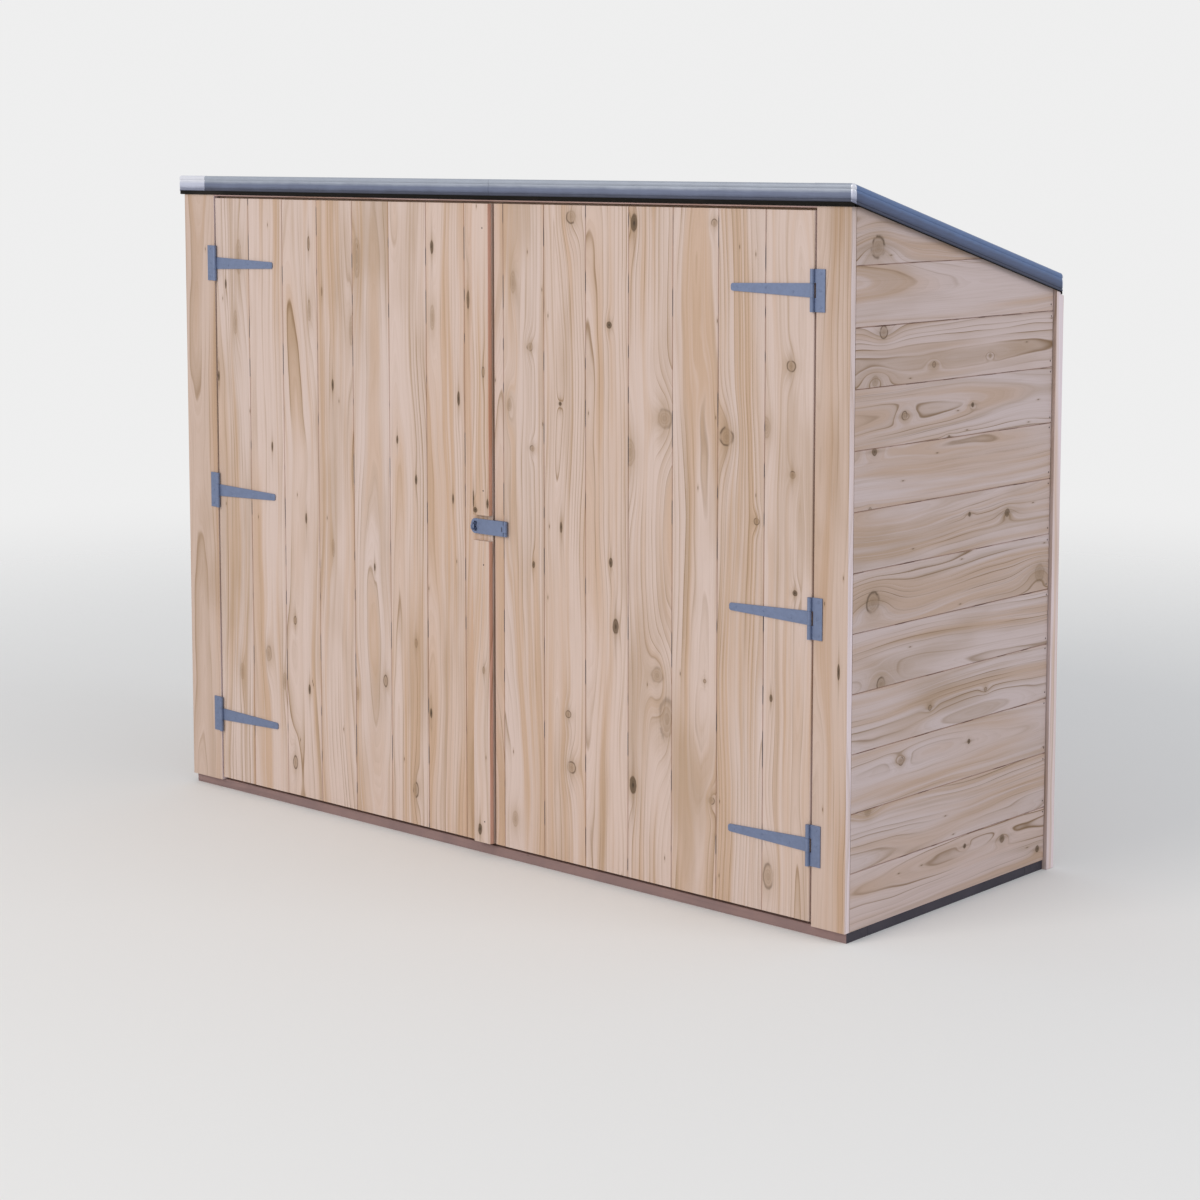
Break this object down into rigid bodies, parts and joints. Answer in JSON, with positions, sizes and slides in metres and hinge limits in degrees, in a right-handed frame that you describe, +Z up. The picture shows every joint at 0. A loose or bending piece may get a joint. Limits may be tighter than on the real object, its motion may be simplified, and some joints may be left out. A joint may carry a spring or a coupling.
{
  "type": "timber bike shelter with double doors",
  "caption": "Closed timber lean-to store for bikes, with double board doors on long hinges, a hasp, a sloping roof with a metal edge trim and a low base frame.",
  "frame": {"origin": "on the ground, under the middle of the object's box", "axes": "+X along the front from left to right, +Y from the doors to the back wall, +Z up"},
  "size_m": [2.024, 0.777, 1.4986],
  "materials": {
    "untreated_wood": "planed softwood, untreated",
    "frame_wood": "planed softwood, untreated",
    "base_wood": "sawn softwood, dark impregnated",
    "roof_trim": "satin",
    "membrane": "matt black sheet",
    "fittings": "blue-grey galvanised"
  },
  "bodies": {
    "store": {"base_front_bearer": "base_wood", "base_rear_bearer": "base_wood", "base_cross_bearers": "base_wood", "floor_deck": "frame_wood", "left_corner_board": "untreated_wood", "right_corner_board": "untreated_wood", "left_front_post": "frame_wood", "right_front_post": "frame_wood", "door_header": "untreated_wood", "head_rail": "frame_wood", "left_side_cladding": "untreated_wood", "right_side_cladding": "untreated_wood", "left_rear_post": "untreated_wood", "right_rear_post": "untreated_wood", "back_cladding": "untreated_wood", "left_bottom_rail": "frame_wood", "right_bottom_rail": "frame_wood", "left_top_rail": "frame_wood", "right_top_rail": "frame_wood", "side_studs": "frame_wood", "back_bottom_rail": "frame_wood", "back_top_rail": "frame_wood", "back_studs": "frame_wood", "roof_rafters": "frame_wood", "roof_deck": "frame_wood", "roof_membrane": "membrane", "roof_trim_front": "roof_trim", "roof_trim_rear": "roof_trim", "roof_trim_left": "roof_trim", "roof_trim_right": "roof_trim", "left_hinge_plates": "fittings", "right_hinge_plates": "fittings"},
    "left_door": {"left_door_panel": "untreated_wood", "left_door_ledges": "untreated_wood", "left_door_braces": "untreated_wood", "left_hinge_straps": "fittings", "cover_strip": "untreated_wood", "hasp_staple": "fittings"},
    "right_door": {"right_door_panel": "untreated_wood", "right_door_ledges": "untreated_wood", "right_door_braces": "untreated_wood", "right_hinge_straps": "fittings", "hasp_leaf": "fittings"},
    "hasp_flap": {"hasp_flap": "fittings"}
  },
  "joints": [
    {"name": "left_door_hinge", "type": "hinge", "parent": "store", "child": "left_door", "pos_m": [-0.885, -0.3715, 0.74], "axis": [0, 0, -1], "range_deg": [0, 170]},
    {"name": "right_door_hinge", "type": "hinge", "parent": "store", "child": "right_door", "pos_m": [0.9102, -0.3715, 0.74], "axis": [0, 0, 1], "range_deg": [0, 170]},
    {"name": "hasp_flap_hinge", "type": "hinge", "parent": "right_door", "child": "hasp_flap", "pos_m": [0.081, -0.3715, 0.739], "axis": [0, 0, 1], "range_deg": [0, 170]}
  ]
}
